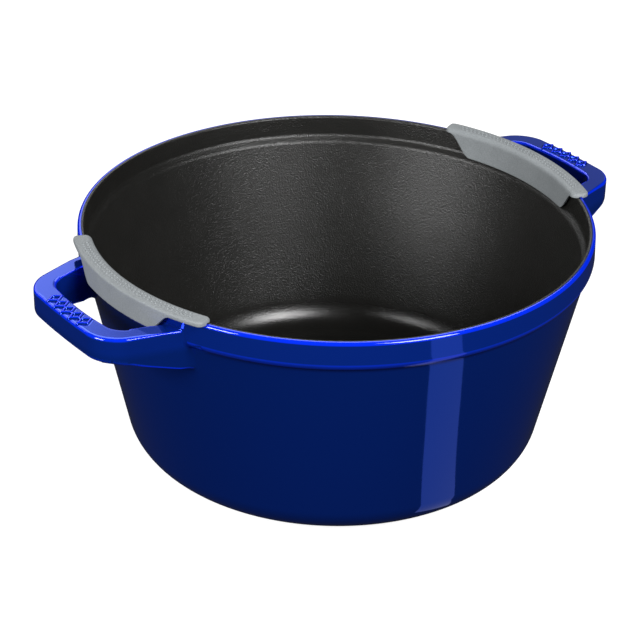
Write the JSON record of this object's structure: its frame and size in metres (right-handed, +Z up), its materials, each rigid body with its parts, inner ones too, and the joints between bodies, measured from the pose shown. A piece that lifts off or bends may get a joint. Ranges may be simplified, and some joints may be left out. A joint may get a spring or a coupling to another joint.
{
  "type": "cast iron dutch oven",
  "caption": "Round enamelled cast-iron pot with two loop handles, a lid seat inside the rim and two lift-off silicone rim guards.",
  "frame": {"origin": "centre of the foot ring, on the surface that the pot stands on", "axes": "+Z up through the mouth of the pot, +X towards the right-hand handle, -X towards the left-hand handle"},
  "size_m": [0.326, 0.2648, 0.1284],
  "materials": {
    "bare_iron": "bare sand-cast iron, ground flat on the foot ring",
    "blue_enamel": "glossy deep blue glass enamel",
    "black_enamel": "matte black enamel with a fine sandy grain",
    "grey_silicone": "matte grey silicone"
  },
  "bodies": {
    "pot": {"iron_pot_body": "bare_iron", "iron_handle_left": "bare_iron", "iron_handle_right": "bare_iron", "exterior_enamel": "blue_enamel", "handle_enamel_left": "blue_enamel", "handle_enamel_right": "blue_enamel", "interior_enamel": "black_enamel"},
    "left_guard": {"rim_guard_left": "grey_silicone"},
    "right_guard": {"rim_guard_right": "grey_silicone"}
  },
  "joints": [
    {"name": "left_guard_lift", "type": "slide", "parent": "pot", "child": "left_guard", "axis": [0, 0, 1], "range_m": [0, 0.05]},
    {"name": "right_guard_lift", "type": "slide", "parent": "pot", "child": "right_guard", "axis": [0, 0, 1], "range_m": [0, 0.05]}
  ]
}
